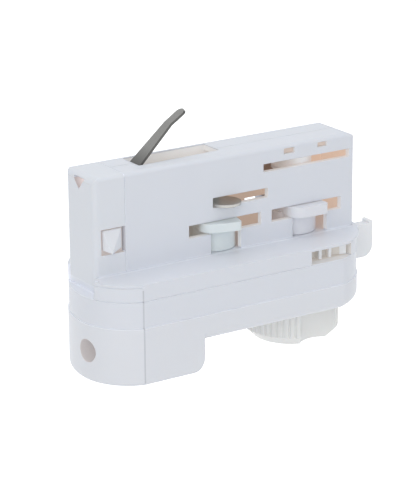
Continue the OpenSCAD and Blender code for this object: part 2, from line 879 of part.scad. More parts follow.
// What the rounding of the nose's lower edge takes away.
module nose_edge_waste() {
    w = half_width + base_over;
    for (s = [-1, 1])
        along_x(bow_left, nose_right + cut)
            translate([s * w, nose_low])
                mirror([s > 0 ? 1 : 0, 0])
                    corner_waste(nose_edge_r);
    for (h = [[bow_front_r, -plan_reach, 0], [bow_rear_r, 0, plan_reach]])
        translate([bow_left + h[0], bow_y, 0])
            intersection() {
                rotate_extrude()
                    translate([h[0] + base_over, nose_low])
                        mirror([1, 0])
                            corner_waste(nose_edge_r);
                span([-plan_reach, h[1], nose_low - 2 * nose_edge_r],
                    [0, h[2], nose_low + 2 * nose_edge_r]);
            }
}

// Base cover with the nose, the bush's boss, the bearing of the selector and the screw seats.
module base_cover() {
    boss_top = nose_low + bush_length;
    outlet_end = bow_left + outlet_length;
    bearing_rise = 2;
    color(WHITE)
        difference() {
            union() {
                difference() {
                    union() {
                        along_z(base_low, middle_low)
                            flange_plan(base_over, base_over, base_over);
                        intersection() {
                            along_z(nose_low, base_low + cut)
                                flange_plan(base_over, base_over, base_over);
                            along_y(-half_width - 2 * base_over, half_width + 2 * base_over)
                                corner_rect(bow_left - 2 * base_over, nose_low, nose_right, base_low + cut,
                                    [0, nose_corner_r, 0, 0]);
                        }
                    }
                    along_z(floor_top, middle_low + cut)
                        flange_plan(-flange_wall, -flange_wall, -flange_wall);
                    intersection() {
                        along_z(nose_floor_top, floor_top + cut)
                            flange_plan(-flange_wall, -flange_wall, -flange_wall);
                        along_y(-half_width, half_width)
                            corner_rect(bow_left, nose_floor_top, nose_right - flange_wall,
                                floor_top + cut, [0, nose_corner_r - flange_wall, 0, 0]);
                    }
                    base_edge_waste();
                    nose_edge_waste();
                }
                translate([bush_x, 0, 0])
                    post(bush_r + boss_wall, nose_low + cut, boss_top);
                along_x(bow_left + flange_wall, outlet_end)
                    translate([outlet_y, outlet_z])
                        circle(outlet_r + boss_wall);
                translate([right_axis, 0, 0])
                    post(selector_r + boss_wall, base_low + cut, floor_top + bearing_rise);
                for (p = SCREWS)
                    translate(p)
                        post(screw_boss_r, base_low + cut, middle_low);
            }
            translate([bush_x, 0, 0])
                post(bush_r, nose_low - cut, boss_top + cut);
            translate([right_axis, 0, 0])
                post(selector_r + turning_fit, base_low - cut, floor_top + bearing_rise + cut);
            for (p = SCREWS)
                translate(p) {
                    post(screw_r + lay_gap, base_low - cut, middle_low + cut);
                    post(screw_head_r + lay_gap, base_low - cut, floor_top + head_recess);
                }
            along_x(bow_left - 2 * base_over, outlet_end + cut)
                translate([outlet_y, outlet_z])
                    circle(outlet_r);
        }
}

// Threaded bush that takes the lamp's stem; its collar rests on the boss in the nose.
module stem_bush() {
    boss_top = nose_low + bush_length;
    color(STEEL)
        translate([bush_x, 0, 0])
            difference() {
                union() {
                    post(bush_r, nose_low, boss_top);
                    post(collar_r, boss_top, boss_top + collar_h);
                }
                post(bush_bore_r, nose_low - cut, boss_top + collar_h + cut);
            }
}

// Four screws from below through the base cover and the middle housing into the flange plate.
module housing_screws() {
    seat = floor_top + head_recess;
    color(STEEL)
        for (p = SCREWS)
            translate(p)
                difference() {
                    union() {
                        post(screw_head_r, seat - screw_head_h, seat);
                        post(screw_r, seat - cut, -roof - head_recess);
                    }
                    for (a = [0, 90])
                        rotate(a)
                            translate([-screw_head_r * 0.6, -cross_slot / 2, seat - screw_head_h - cut])
                                cube([screw_head_r * 1.2, cross_slot, cut + cross_slot_depth]);
                }
}

// Three-pole terminal block that hangs under the deck.
module terminal_block() {
    top = deck_low;
    color(CREAM)
        difference() {
            span([terminal_left, -terminal_width / 2, top - terminal_h],
                [terminal_left + terminal_length, terminal_width / 2, top]);
            for (k = [-1, 0, 1]) {
                span([terminal_left - cut, k * pole_pitch - strip_thick / 2 - lay_gap,
                    strip_foot_low() - lay_gap],
                    [strip_foot_right() + lay_gap, k * pole_pitch + strip_thick / 2 + lay_gap,
                    strip_foot_low() + strip_width + lay_gap]);
                translate([terminal_screw_x(), k * pole_pitch, 0])
                    post(terminal_screw_r, top - terminal_h - cut, strip_foot_low() - lay_gap + cut);
            }
        }
}

// Height, right end and screw position of the strips' feet in the terminal block.
function strip_foot_low() = deck_low - 4.4;
function strip_foot_right() = terminal_left + terminal_length - 1.5;
function terminal_screw_x() = terminal_left + terminal_length * 0.55;

// Clamping screws of the three poles, turned in from below.
module terminal_screws() {
    top = strip_foot_low();
    color(STEEL)
        for (k = [-1, 0, 1])
            translate([terminal_screw_x(), k * pole_pitch, 0])
                difference() {
                    post(terminal_screw_r, top - terminal_screw_length, top);
                    translate([-2, -0.2, top - terminal_screw_length - cut])
                        cube([4, 0.4, cut + 0.6]);
                }
}

// Conductor strip: riser from its foot in the terminal to the height of its contact.
module riser(x, top) {
    translate([x, strip_foot_low()])
        square([strip_width, top - strip_foot_low()]);
    translate([x, strip_foot_low()])
        square([strip_foot_right() - x, strip_width]);
}

// Strip that feeds the neutral blade's ring.
module neutral_bar() {
    end_x = left_axis - column_r - 0.4 - running_gap;
    color(BRASS)
        along_y(-strip_thick / 2, strip_thick / 2) {
            riser(riser_x, neutral_z + strip_width);
            translate([riser_x, neutral_z])
                square([end_x - riser_x, strip_width]);
        }
}

// Strip that feeds the selector drum, above the path of its blade.
module phase_bar() {
    low = phase_z + blade_thick + running_gap;
    reach = sqrt(pow(drum_r + running_gap, 2) - pow(pole_pitch - strip_thick / 2, 2));
    color(BRASS)
        along_y(pole_pitch - strip_thick / 2, pole_pitch + strip_thick / 2) {
            riser(riser_x, low + strip_width / 2);
            translate([riser_x, low])
                square([right_axis - reach - riser_x, strip_width / 2]);
        }
}

// Strip that ends in an eye on the earth pin.
module earth_bar() {
    color(BRASS)
        along_y(-pole_pitch - strip_thick / 2, -pole_pitch + strip_thick / 2)
            difference() {
                riser(earth_riser_x, earth_z + 1);
                translate([earth_x, earth_z])
                    circle(earth_pin_r);
            }
}

// Pin between the walls of the shells that the earth leaf turns on.
module earth_pin() {
    color(STEEL)
        translate([earth_x, 0, earth_z])
            rotate([90, 0, 0])
                cylinder(r = earth_pin_r, h = 2 * inner_y, center = true);
}

// Side view of the earth leaf: eye, straight leaf, bend and tip.
module leaf_profile() {
    difference() {
        union() {
            circle(leaf_eye_r);
            rotate(leaf_angle)
                translate([0, -leaf_thick / 2])
                    square([leaf_length, leaf_thick]);
            rotate(leaf_angle)
                translate([leaf_length, leaf_thick / 2])
                    rotate(-leaf_bend)
                        translate([0, -leaf_thick])
                            square([leaf_tip, leaf_thick]);
        }
        circle(earth_pin_r + turning_fit);
    }
}

// Grey metal leaf, tapered towards its rounded tip, that folds down into the recess.
module earth_contact() {
    reach = leaf_length + leaf_tip * cos(leaf_bend);
    color(STEEL)
        translate([earth_x, 0, earth_z])
            rotate([0, -leaf_angle, 0])
                intersection() {
                    rotate([0, leaf_angle, 0])
                        along_y(-leaf_half_root, leaf_half_root)
                            leaf_profile();
                    along_z(-5, 5)
                        union() {
                            polygon([[-3, -leaf_half_root], [3, -leaf_half_root],
                                [leaf_length, -leaf_half_tip], [reach - leaf_half_tip, -leaf_half_tip],
                                [reach - leaf_half_tip, leaf_half_tip], [leaf_length, leaf_half_tip],
                                [3, leaf_half_root], [-3, leaf_half_root]]);
                            translate([reach - leaf_half_tip, 0])
                                circle(leaf_half_tip);
                        }
                }
}

// Coil spring along +Z from the origin; the wire is round in a section through the axis.
module coil(outer_r, wire, length, turns) {
    r = outer_r - wire / 2;
    pitch = (length - wire) / turns;
    spread = 180 * wire / pitch;
    steps = 5;
    a = [for (k = [-steps : steps]) spread * k / steps];
    rim = [for (t = a) (r + wire / 2 * sqrt(max(0, 1 - pow(t / spread, 2)))) * [cos(t), sin(t)]];
    core = [for (k = [2 * steps - 1 : -1 : 1])
        (r - wire / 2 * sqrt(max(0, 1 - pow(a[k] / spread, 2)))) * [cos(a[k]), sin(a[k])]];
    linear_extrude(length, twist = -360 * turns, slices = 14 * turns, $fn = 16)
        polygon(concat(rim, core));
}

// Spring that pushes the catch out.
module catch_spring() {
    x0 = left_end + catch_nose_left + catch_nose_width / 2;
    y0 = -half_thick + catch_skin + lay_gap + catch_flange + lay_gap;
    y1 = -half_thick + catch_skin + catch_pocket - lay_gap;
    color(STEEL)
        translate([x0, y0, (catch_window_low + catch_window_high) / 2])
            rotate([-90, 0, 0])
                coil(catch_spring_r, catch_spring_wire, y1 - y0, 5);
}

// Snap catch: flange behind the skin, nose in the window with a faceted point, and a stub inside
// the spring.
module catch() {
    x0 = left_end + catch_nose_left;
    x1 = x0 + catch_nose_width;
    flange_y = -half_thick + catch_skin + lay_gap;
    face_y = -half_thick + 0.4;
    tip = [x0 + catch_point_x, -half_thick - catch_point, catch_point_z];
    color(WHITE)
        union() {
            span([left_end + catch_window_left - catch_lap + running_gap, flange_y,
                catch_window_low - catch_lap + running_gap],
                [seam_x - running_gap, flange_y + catch_flange,
                catch_window_high + catch_lap - running_gap]);
            span([x0, face_y, catch_nose_low], [x1, flange_y + 0.2, catch_nose_high]);
            polyhedron(
                points = [[x0, face_y, catch_nose_low], [x1, face_y, catch_nose_low],
                    [x1, face_y, catch_nose_high], [x0, face_y, catch_nose_high], tip],
                faces = [[0, 1, 2, 3], [0, 3, 4], [3, 2, 4], [2, 1, 4], [1, 0, 4]]);
            translate([(x0 + x1) / 2, flange_y + catch_flange - 0.2,
                (catch_window_low + catch_window_high) / 2])
                rotate([-90, 0, 0])
                    cylinder(r = catch_spring_r - catch_spring_wire - running_gap, h = 2.4);
        }
}

// Half widths of a tooth at its root, pitch line and tip.
function tooth_half(k) = [0.46, 0.345, 0.17][k] * 2 * tooth_module - backlash / 4;

// Pinion profile with a gap towards the rack.
module pinion() {
    union() {
        circle(root_r);
        for (k = [0 : pinion_teeth - 1])
            rotate((k + 0.5) * 360 / pinion_teeth)
                polygon([[root_r * 0.8, -tooth_half(0)], [root_r, -tooth_half(0)],
                    [pitch_r, -tooth_half(1)], [tip_r, -tooth_half(2)], [tip_r, tooth_half(2)],
                    [pitch_r, tooth_half(1)], [root_r, tooth_half(0)], [root_r * 0.8, tooth_half(0)]]);
    }
}

// Plan of a lock wing: long across the body when locked, with one large and one small corner at each end.
module wing_plan() {
    corner_rect(-wing_half, -wing_reach, wing_half, wing_reach,
        [wing_corner_r, wing_nose_r, wing_corner_r, wing_nose_r]);
}

// Foot journal, pinion, roof journal, hub and wing that both lock shafts share.
module lock_body(lag, lift) {
    post(foot_journal_r, deck_low + lay_gap, slider_low);
    along_z(slider_low, slider_top)
        pinion();
    post(roof_journal_r, slider_top, hub_low + cut);
    post(hub_r, hub_low, wing_z + lift + cut);
    along_z(wing_z + lift, wing_top)
        rotate(-lag)
            wing_plan();
}

// Left lock shaft; its neck carries the neutral contact.
module left_lock() {
    color(WHITE)
        translate([left_axis, 0, 0])
            union() {
                lock_body(wing_lag, left_wing_lift);
                post(column_r, wing_top - cut, neutral_z);
                post(neck_r, neutral_z - cut, neck_top);
                post(top_journal_r, neck_top - cut, bearing_high + 0.4);
            }
}

// Right lock shaft, hollow for the selector shaft.
module right_lock() {
    color(WHITE)
        translate([right_axis, 0, 0])
            difference() {
                union() {
                    lock_body(0, 0);
                    post(column_r, wing_top - cut, sleeve_top);
                }
                post(selector_r + turning_fit, deck_low - cut, sleeve_top + cut);
            }
}

// Metal blade on the left shaft's neck, with a round tip that stands out of the front.
module neutral_contact() {
    color(STEEL)
        translate([left_axis, 0, 0])
            along_z(neutral_z, neutral_z + blade_thick)
                rotate(neutral_turn - 90)
                    difference() {
                        union() {
                            circle(column_r + 0.4);
                            translate([blade_arm, 0])
                                circle(blade_tip_r);
                            translate([0, -column_r])
                                square([blade_arm, 2 * column_r]);
                        }
                        circle(neck_r);
                    }
}

// Slit of the drum that the phase blade lies in, and the blade's root.
module phase_root(gap) {
    translate([-phase_half - gap, -drum_r * 0.5 - gap])
        square([2 * (phase_half + gap), phase_reach - phase_half + drum_r * 0.5 + gap]);
}

// Selector shaft with the drum seen in the phase slot.
module selector_shaft() {
    color(WHITE)
        translate([right_axis, 0, 0])
            difference() {
                union() {
                    post(selector_r, knob_top - knob_seat, drum_low);
                    post(drum_stem_r, sleeve_top + running_gap, drum_low + cut);
                    post(drum_r, drum_low, drum_high);
                    post(top_journal_r, drum_high - cut, inner_top + journal_rise);
                }
                along_z(phase_z, phase_z + blade_thick)
                    phase_root(0);
                post(knob_screw_r, knob_top - knob_seat - cut, knob_top - 1);
            }
}

// Metal blade in the drum's slit, turned to the rear.
module phase_contact() {
    color(STEEL)
        translate([right_axis, 0, 0])
            along_z(phase_z, phase_z + blade_thick)
                union() {
                    phase_root(0);
                    translate([0, phase_reach - phase_half])
                        circle(phase_half);
                }
}

// Selector knob with grip grooves and a finger scoop at the front and at the rear.
module selector_knob() {
    color(CREAM)
        translate([right_axis, 0, 0])
            difference() {
                intersection() {
                    along_z(knob_low, knob_top)
                        rotate(knob_turn)
                            difference() {
                                circle(knob_r);
                                for (k = [0 : grip_grooves - 1])
                                    rotate((k + 0.5) * 360 / grip_grooves)
                                        translate([knob_r, 0])
                                            circle(groove_r, $fn = 24);
                                for (s = [-1, 1])
                                    translate([0, s * scoop_offset])
                                        circle(scoop_r);
                            }
                    rotate_extrude()
                        polygon([[0, knob_low], [knob_r - knob_chamfer, knob_low],
                            [knob_r, knob_low + knob_chamfer], [knob_r, knob_top], [0, knob_top]]);
                }
                post(selector_r, knob_top - knob_seat, knob_top + cut);
                post(knob_screw_r, knob_low - cut, knob_top);
                post(knob_screw_head_r + lay_gap, knob_low - cut, knob_low + knob_screw_head_h + head_recess);
            }
}

// Screw that holds the knob on the shaft.
module knob_screw() {
    seat = knob_low + knob_screw_head_h + head_recess;
    color(STEEL)
        translate([right_axis, 0, 0])
            difference() {
                union() {
                    post(knob_screw_head_r, seat - knob_screw_head_h, seat);
                    post(knob_screw_r, seat - cut, knob_top - 1.5);
                }
                for (a = [0, 90])
                    rotate(a)
                        translate([-knob_screw_head_r * 0.6, -cross_slot / 2, seat - knob_screw_head_h - cut])
                            cube([knob_screw_head_r * 1.2, cross_slot, cut + cross_slot_depth]);
            }
}

// Teeth of the rack beside one pinion.
module rack_teeth(axis) {
    for (k = [-1 : ceil(slider_travel / tooth_pitch) + 1])
        translate([axis + k * tooth_pitch, rack_line])
            polygon([[-tooth_half(0) - 0.06, tooth_root + cut], [-tooth_half(0) - 0.06, tooth_root],
                [-tooth_half(2) - 0.05, -tooth_tip], [tooth_half(2) + 0.05, -tooth_tip],
                [tooth_half(0) + 0.06, tooth_root], [tooth_half(0) + 0.06, tooth_root + cut]]);
}

// Slider: rack bar behind the pinions, cross piece, front bar with the grip pad, and the tab at
// the right end.
module slider() {
    cross_right = cross_left + cross_width;
    pad_right = pad_left + pad_length;
    pad_ribs = [3.7, 6.7];
    pad_ramp = 4.6;
    mid_z = (slider_low + slider_top) / 2;
    deep_x = tab_end - tab_deep_length;
    color(WHITE)
        union() {
            along_z(slider_low, slider_top) {
                rack_teeth(left_axis);
                rack_teeth(right_axis);
                translate([left_axis - 3.2, rack_line + tooth_root])
                    square([cross_right - left_axis + 3.2, rack_bar_rear - rack_line - tooth_root]);
                translate([cross_left, front_bar_y])
                    square([cross_width, rack_bar_rear - front_bar_y]);
                translate([front_bar_left, front_bar_y])
                    square([cross_right - front_bar_left, bar_width]);
                translate([pad_left, pad_face])
                    square([pad_length, front_bar_y - pad_face + cut]);
                for (x = pad_ribs)
                    translate([pad_left + x - pad_rib / 2, pad_face - pad_rib_h])
                        square([pad_rib, pad_rib_h + cut]);
                polygon([[pad_right - pad_ramp, pad_face + cut], [pad_right - pad_ramp, pad_face],
                    [pad_right - cut, pad_face - pad_rib_h], [pad_right, pad_face - pad_rib_h + cut],
                    [pad_right, pad_face + cut]]);
            }
            translate([front_bar_left - 3, front_bar_y + bar_width / 2, mid_z])
                rotate([0, 90, 0])
                    cylinder(r = lock_spring_r - lock_spring_wire - 0.2, h = 3 + cut);
            along_y(tab_front, tab_front + tab_thick)
                union() {
                    translate([cross_right - cut, slider_low])
                        square([tab_end - cross_right, slider_top - slider_low]);
                    corner_rect(deep_x, tab_low, tab_end, slider_top, [0.6, tab_corner_r, 0, 0]);
                    corner_rect(tab_end - thumb_lip, slider_top - cut, tab_end, slider_top + thumb_lip_h,
                        [0, 0, 0.4, 0.4]);
                }
        }
}

// Spring between the flange plate's stop and the slider's front bar.
module lock_spring() {
    stop_x = front_bar_left - lock_spring_length;
    color(STEEL)
        translate([stop_x + lay_gap, front_bar_y + bar_width / 2, (slider_low + slider_top) / 2])
            rotate([0, 90, 0])
                coil(lock_spring_r, lock_spring_wire, lock_spring_length - 2 * lay_gap, 10);
}

end_block();
front_shell();
rear_shell();
flange_plate();
middle_housing();
base_cover();
stem_bush();
housing_screws();
terminal_block();
terminal_screws();
neutral_bar();
phase_bar();
earth_bar();
earth_pin();
earth_contact();
catch();
catch_spring();
slider();
lock_spring();
left_lock();
neutral_contact();
right_lock();
selector_shaft();
phase_contact();
selector_knob();
knob_screw();
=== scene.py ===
import json
import math

import bmesh
import bpy
from mathutils import Matrix, Vector


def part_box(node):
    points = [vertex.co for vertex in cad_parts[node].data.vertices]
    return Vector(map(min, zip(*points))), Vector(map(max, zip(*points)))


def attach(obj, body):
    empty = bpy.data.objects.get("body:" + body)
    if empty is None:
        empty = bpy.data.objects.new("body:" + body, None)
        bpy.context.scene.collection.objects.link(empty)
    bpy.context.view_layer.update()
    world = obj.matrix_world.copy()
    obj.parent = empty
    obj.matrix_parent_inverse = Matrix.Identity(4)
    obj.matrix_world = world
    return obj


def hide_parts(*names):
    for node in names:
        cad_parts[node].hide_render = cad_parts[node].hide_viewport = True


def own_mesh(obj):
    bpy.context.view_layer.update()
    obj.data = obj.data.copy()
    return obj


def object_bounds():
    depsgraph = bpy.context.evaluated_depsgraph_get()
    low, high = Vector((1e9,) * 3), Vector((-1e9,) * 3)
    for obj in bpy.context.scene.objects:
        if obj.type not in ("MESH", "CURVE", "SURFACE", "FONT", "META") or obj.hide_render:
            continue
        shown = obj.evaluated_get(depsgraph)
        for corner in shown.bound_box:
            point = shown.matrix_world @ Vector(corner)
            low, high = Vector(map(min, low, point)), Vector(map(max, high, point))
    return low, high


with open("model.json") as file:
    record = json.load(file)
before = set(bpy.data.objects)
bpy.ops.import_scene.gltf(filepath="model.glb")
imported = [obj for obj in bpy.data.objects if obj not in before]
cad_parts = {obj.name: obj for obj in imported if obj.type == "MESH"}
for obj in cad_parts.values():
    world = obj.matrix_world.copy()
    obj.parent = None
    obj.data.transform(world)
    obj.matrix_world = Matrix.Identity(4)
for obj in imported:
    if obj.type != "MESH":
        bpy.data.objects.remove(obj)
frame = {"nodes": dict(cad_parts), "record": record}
cad_low, cad_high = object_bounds()
nodes = frame["nodes"]

# In-track body: the end block and the two half shells, injection moulded in cool white plastic.
# The halves clip together on the centre plane, and the end block stands against their left end.
# Inside, a warm tint and a weak glow are painted light for light that falls through the thin walls, most of
# all towards the right end.
MM = 0.001
MOULD_CLOUDS = 90
MOULD_GRAIN = 2600
EDGE_ROUNDING = 0.3 * MM
# Painted highlight: edges are painted lighter by this factor.
EDGE_HIGHLIGHT_LIFT = 1.17
SHELL_WHITE = (0.735, 0.757, 0.812)
END_BLOCK_WHITE = (0.745, 0.768, 0.815)
# A region is painted light and shade: its painted colour, its glow at the left and right end, and its
# lowest and highest corner in millimetres. With a fourth entry it is the round bore along X that fits in
# that box.
# Painted light: the inside of the shells is tinted warm and glows, more towards the right end.
SHELL_INSIDE = ((0.56, 0.447, 0.37), (0.14, 0.58), ((-31.0, -5.45, -1.0), (36.3, 5.45, 24.6)))
DRUM_SHADE = ((0.40, 0.31, 0.26), (0.04, 0.04), ((14.0, -5.45, 13.5), (22.5, 5.45, 24.6)))
# Painted light: the recess wall, the jambs of the slots and the latch tongues are lightened and glow.
RECESS_WALL = ((0.74, 0.735, 0.74), (0.27, 0.27), ((-31.0, -5.45, 13.0), (3.0, 5.45, 24.6)))
SLOT_EDGES = ((0.74, 0.735, 0.74), (0.20, 0.20), ((-31.0, -6.93, 0.3), (36.3, -5.45, 23.85)))
LATCH_TONGUES = ((0.62, 0.52, 0.46), (0.10, 0.24), ((14.0, -6.6, 21.0), (30.5, -5.45, 24.4)))
# Painted light: a weak glow lifts the shade along the foot of the body on the flange.
BODY_FOOT = ((0.742, 0.763, 0.818), (0.07, 0.07), ((-40.05, -7.9, -0.1), (36.6, -6.9, 0.35)))
# Painted light and shade: the catch pocket is tinted and glows; the end hole is painted darker, with a glow
# that grows towards its floor.
CATCH_POCKET = ((0.60, 0.55, 0.53), (0.30, 0.22), ((-38.3, -6.8, 4.5), (-31.4, 5.6, 12.6)))
END_HOLE = ((0.58, 0.52, 0.51), (0.05, 0.95), ((-39.9, -5.2, 17.5), (-36.9, 5.2, 23.3)))
# Painted light: the end seam, the foot of the tail and the crease under it are lightened with a glow.
END_SEAM = ((0.70, 0.72, 0.77), (0.40, 0.40), ((-31.23, -7.0, 0.0), (-31.105, 7.0, 25.0)))
TAIL_FOOT = (END_BLOCK_WHITE, (0.08, 0.08), ((-40.1, -7.0, -4.25), (-38.0, 7.0, -2.2)))
FOOT_CREASE = ((0.742, 0.763, 0.818), (0.16, 0.16), ((-40.05, -7.2, -4.3), (-38.9, 7.2, -3.7)))


def new_finish(name):
    material = bpy.data.materials.new(name)
    material.use_nodes = True
    return material, material.node_tree, material.node_tree.nodes["Principled BSDF"]


def add_step(tree, kind, inputs=(), **settings):
    step = tree.nodes.new(kind)
    for key, value in settings.items():
        setattr(step, key, value)
    for key, value in dict(inputs).items():
        if isinstance(value, bpy.types.NodeSocket):
            tree.links.new(value, step.inputs[key])
        else:
            step.inputs[key].default_value = value
    return step


def mix_colours(tree, share, first, second):
    step = tree.nodes.new("ShaderNodeMix")
    step.data_type = "RGBA"
    for socket, value in zip((step.inputs[0], step.inputs[6], step.inputs[7]), (share, first, second)):
        if isinstance(value, bpy.types.NodeSocket):
            tree.links.new(value, socket)
        else:
            socket.default_value = (*value, 1)
    return step.outputs[2]


def work_out(tree, first, second, operation):
    return add_step(tree, "ShaderNodeMath", {0: first, 1: second}, operation=operation).outputs[0]


def scaled(colour, share):
    return tuple(channel * share for channel in colour)


def inside_mask(tree, place, hollow, bore):
    low, high = (Vector(corner) * MM for corner in hollow)
    offset = add_step(tree, "ShaderNodeVectorMath", {0: place, 1: (low + high) / 2}, operation="SUBTRACT")
    share = add_step(tree, "ShaderNodeVectorMath", {0: offset.outputs[0], 1: (high - low) / 2},
                     operation="DIVIDE")
    reach = add_step(tree, "ShaderNodeVectorMath", {0: share.outputs[0]}, operation="ABSOLUTE")
    axes = add_step(tree, "ShaderNodeSeparateXYZ", {0: reach.outputs[0]}).outputs
    if bore:
        squares = [work_out(tree, axes[axis], 2.0, "POWER") for axis in "YZ"]
        across = work_out(tree, squares[0], squares[1], "ADD")
    else:
        across = work_out(tree, axes["Y"], axes["Z"], "MAXIMUM")
    return work_out(tree, work_out(tree, axes["X"], across, "MAXIMUM"), 1.0, "LESS_THAN")


def glow_along(tree, place, glow, hollow):
    along = add_step(tree, "ShaderNodeSeparateXYZ", {0: place}).outputs["X"]
    return add_step(tree, "ShaderNodeMapRange", {"Value": along, "From Min": hollow[0][0] * MM,
                                                 "From Max": hollow[1][0] * MM, "To Min": glow[0],
                                                 "To Max": glow[1]}).outputs["Result"]


def moulded_plastic(name, colour, roughness=(0.34, 0.46), painted_light_regions=()):
    material, tree, surface = new_finish(name)
    place = add_step(tree, "ShaderNodeTexCoord").outputs["Object"]
    cloud = add_step(tree, "ShaderNodeTexNoise", {"Vector": place, "Scale": MOULD_CLOUDS, "Detail": 3})
    body = mix_colours(tree, cloud.outputs["Fac"], scaled(colour, 0.985), scaled(colour, 1.015))
    edge = add_step(tree, "ShaderNodeBevel", {"Radius": EDGE_ROUNDING}, samples=8)
    flat = add_step(tree, "ShaderNodeNewGeometry").outputs["Normal"]
    turn = add_step(tree, "ShaderNodeVectorMath", {0: edge.outputs["Normal"], 1: flat},
                    operation="DOT_PRODUCT").outputs["Value"]
    # Painted highlight: where the rounded edge normal turns away from the face, the colour is painted
    # lighter.
    edge_highlight = add_step(tree, "ShaderNodeMapRange", {"Value": turn, "From Min": 0.99, "From Max": 0.8})
    body = mix_colours(tree, edge_highlight.outputs["Result"], body, scaled(colour, EDGE_HIGHLIGHT_LIFT))
    strength = 0.0
    # Each region paints its colour and glow over the plastic in its box, as painted light and shade.
    for tone, glow, hollow, *bore in painted_light_regions:
        mask = inside_mask(tree, place, hollow, bore)
        lit = mix_colours(tree, cloud.outputs["Fac"], scaled(tone, 0.94), scaled(tone, 1.05))
        body = mix_colours(tree, mask, body, lit)
        strength = add_step(tree, "ShaderNodeMix", {0: mask, 2: strength,
                                                    3: glow_along(tree, place, glow, hollow)}).outputs[0]
    if painted_light_regions:
        tree.links.new(body, surface.inputs["Emission Color"])
        tree.links.new(strength, surface.inputs["Emission Strength"])
    tree.links.new(body, surface.inputs["Base Color"])
    polish = add_step(tree, "ShaderNodeMapRange", {"Value": cloud.outputs["Fac"], "To Min": roughness[0],
                                                   "To Max": roughness[1]})
    tree.links.new(polish.outputs["Result"], surface.inputs["Roughness"])
    grain = add_step(tree, "ShaderNodeTexNoise", {"Vector": place, "Scale": MOULD_GRAIN, "Detail": 2})
    relief = add_step(tree, "ShaderNodeBump", {"Strength": 0.03, "Distance": 0.04 * MM,
                                               "Height": grain.outputs["Fac"],
                                               "Normal": edge.outputs["Normal"]})
    tree.links.new(relief.outputs["Normal"], surface.inputs["Normal"])
    surface.inputs["Subsurface Weight"].default_value = 0.12
    surface.inputs["Subsurface Radius"].default_value = (1.0, 0.8, 0.65)
    surface.inputs["Subsurface Scale"].default_value = 0.8 * MM
    surface.inputs["IOR"].default_value = 1.5
    return material


def finish_nodes(material, *names):
    for name in names:
        mesh = nodes[name].data
        mesh.materials.clear()
        mesh.materials.append(material)


front_plastic = moulded_plastic("front_plastic", SHELL_WHITE,
                                painted_light_regions=(SHELL_INSIDE, RECESS_WALL, SLOT_EDGES, BODY_FOOT))
rear_plastic = moulded_plastic("rear_plastic", SHELL_WHITE,
                               painted_light_regions=(SHELL_INSIDE, DRUM_SHADE, RECESS_WALL, LATCH_TONGUES))
end_plastic = moulded_plastic("end_plastic", END_BLOCK_WHITE,
                              painted_light_regions=(CATCH_POCKET, END_HOLE, END_SEAM, TAIL_FOOT, FOOT_CREASE, BODY_FOOT))
finish_nodes(front_plastic, "front_shell")
finish_nodes(rear_plastic, "rear_shell")
finish_nodes(end_plastic, "end_block")

# Flange: three moulded layers, the plate that seats against the track, the middle housing and the
# base cover. All are white plastic of one batch, held together by four screws from below.
FLANGE_WHITE = (0.742, 0.763, 0.818)
BASE_WHITE = (0.760, 0.775, 0.818)
# Painted light: the hollow behind the grip window, its jamb and its sill are tinted and glow.
GRIP_HOLLOW = ((0.62, 0.59, 0.56), (0.30, 0.30), ((14.0, -15.9, -4.204), (29.5, 15.9, -0.65)))
WINDOW_JAMB = ((0.68, 0.66, 0.64), (0.25, 0.25), ((29.78, -16.6, -4.19), (30.02, -12.0, -0.65)))
WINDOW_SILL = ((0.70, 0.69, 0.69), (0.22, 0.22), ((16.0, -17.9, -4.204), (29.5, -15.5, -4.19)))
# Painted light: the grooves of the lip, layer and base seams are lightened with a glow.
LIP_SEAM = ((0.70, 0.72, 0.77), (0.18, 0.18), ((-44.0, -18.1, -0.73), (-32.6, 18.1, -0.597)))
LAYER_SEAM = ((0.70, 0.72, 0.77), (0.30, 0.30), ((-44.0, -18.1, -4.33), (40.5, 18.1, -4.205)))
BASE_SEAM = ((0.72, 0.74, 0.79), (0.15, 0.15), ((-44.0, -18.6, -11.2), (41.0, 18.6, -10.85)))
# Painted light: the ledge under the tail and the gap at the rear of the end block are lightened with a
# glow.
TAIL_LEDGE = (FLANGE_WHITE, (0.09, 0.09), ((-43.2, -9.7, -4.202), (-39.5, 9.7, -0.3)))
END_GAP = (FLANGE_WHITE, (0.34, 0.34), ((-40.05, 6.9, -4.2), (-38.0, 7.2, -0.02)))
# Painted shade: a darker line down the front left corner stands in for the shade of a groove there.
CORNER_LINE = ((0.60, 0.615, 0.66), (0.0, 0.0), ((-33.23, -18.5, -25.1), (-32.83, -17.0, -1.3)))
# Painted light: the inside of the nose and the wire bore are tinted and glow.
NOSE_INSIDE = ((0.60, 0.595, 0.595), (0.25, 0.25), ((-39.0, -12.0, -23.9), (-16.5, 6.0, -11.2)))
WIRE_BORE = ((0.58, 0.55, 0.55), (0.26, 0.26), ((-43.2, -10.06, -20.86), (-37.2, -4.14, -14.94)), "bore")
flange_plastic = moulded_plastic("flange_plastic", FLANGE_WHITE,
                                 painted_light_regions=(GRIP_HOLLOW, WINDOW_JAMB, WINDOW_SILL, LIP_SEAM, LAYER_SEAM,
                                          BASE_SEAM, TAIL_LEDGE, FOOT_CREASE, END_GAP, CORNER_LINE,
                                          BODY_FOOT))
base_plastic = moulded_plastic("base_plastic", BASE_WHITE,
                               painted_light_regions=(NOSE_INSIDE, WIRE_BORE, BASE_SEAM, CORNER_LINE))
finish_nodes(flange_plastic, "flange_plate", "middle_housing")
finish_nodes(base_plastic, "base_cover")

# Lamp stem bush: a turned steel bush with a collar that rests on its boss inside the nose.
# Its bore has a fine thread, drawn here as rings, for the hollow stem of the lamp.
STEEL_GREY = (0.50, 0.50, 0.49)
LINES_ALONG = 60
LINES_ACROSS = 2600
METAL_EDGE = 0.12 * MM
BUSH_RIM = 0.4 * MM
BUSH_STEPS = 64
SHANK_RADIUS = 6.0 * MM
COLLAR_HEIGHT = 1.5 * MM
THREAD_PITCH = 1.0 * MM
THREAD_DEPTH = 0.55 * MM


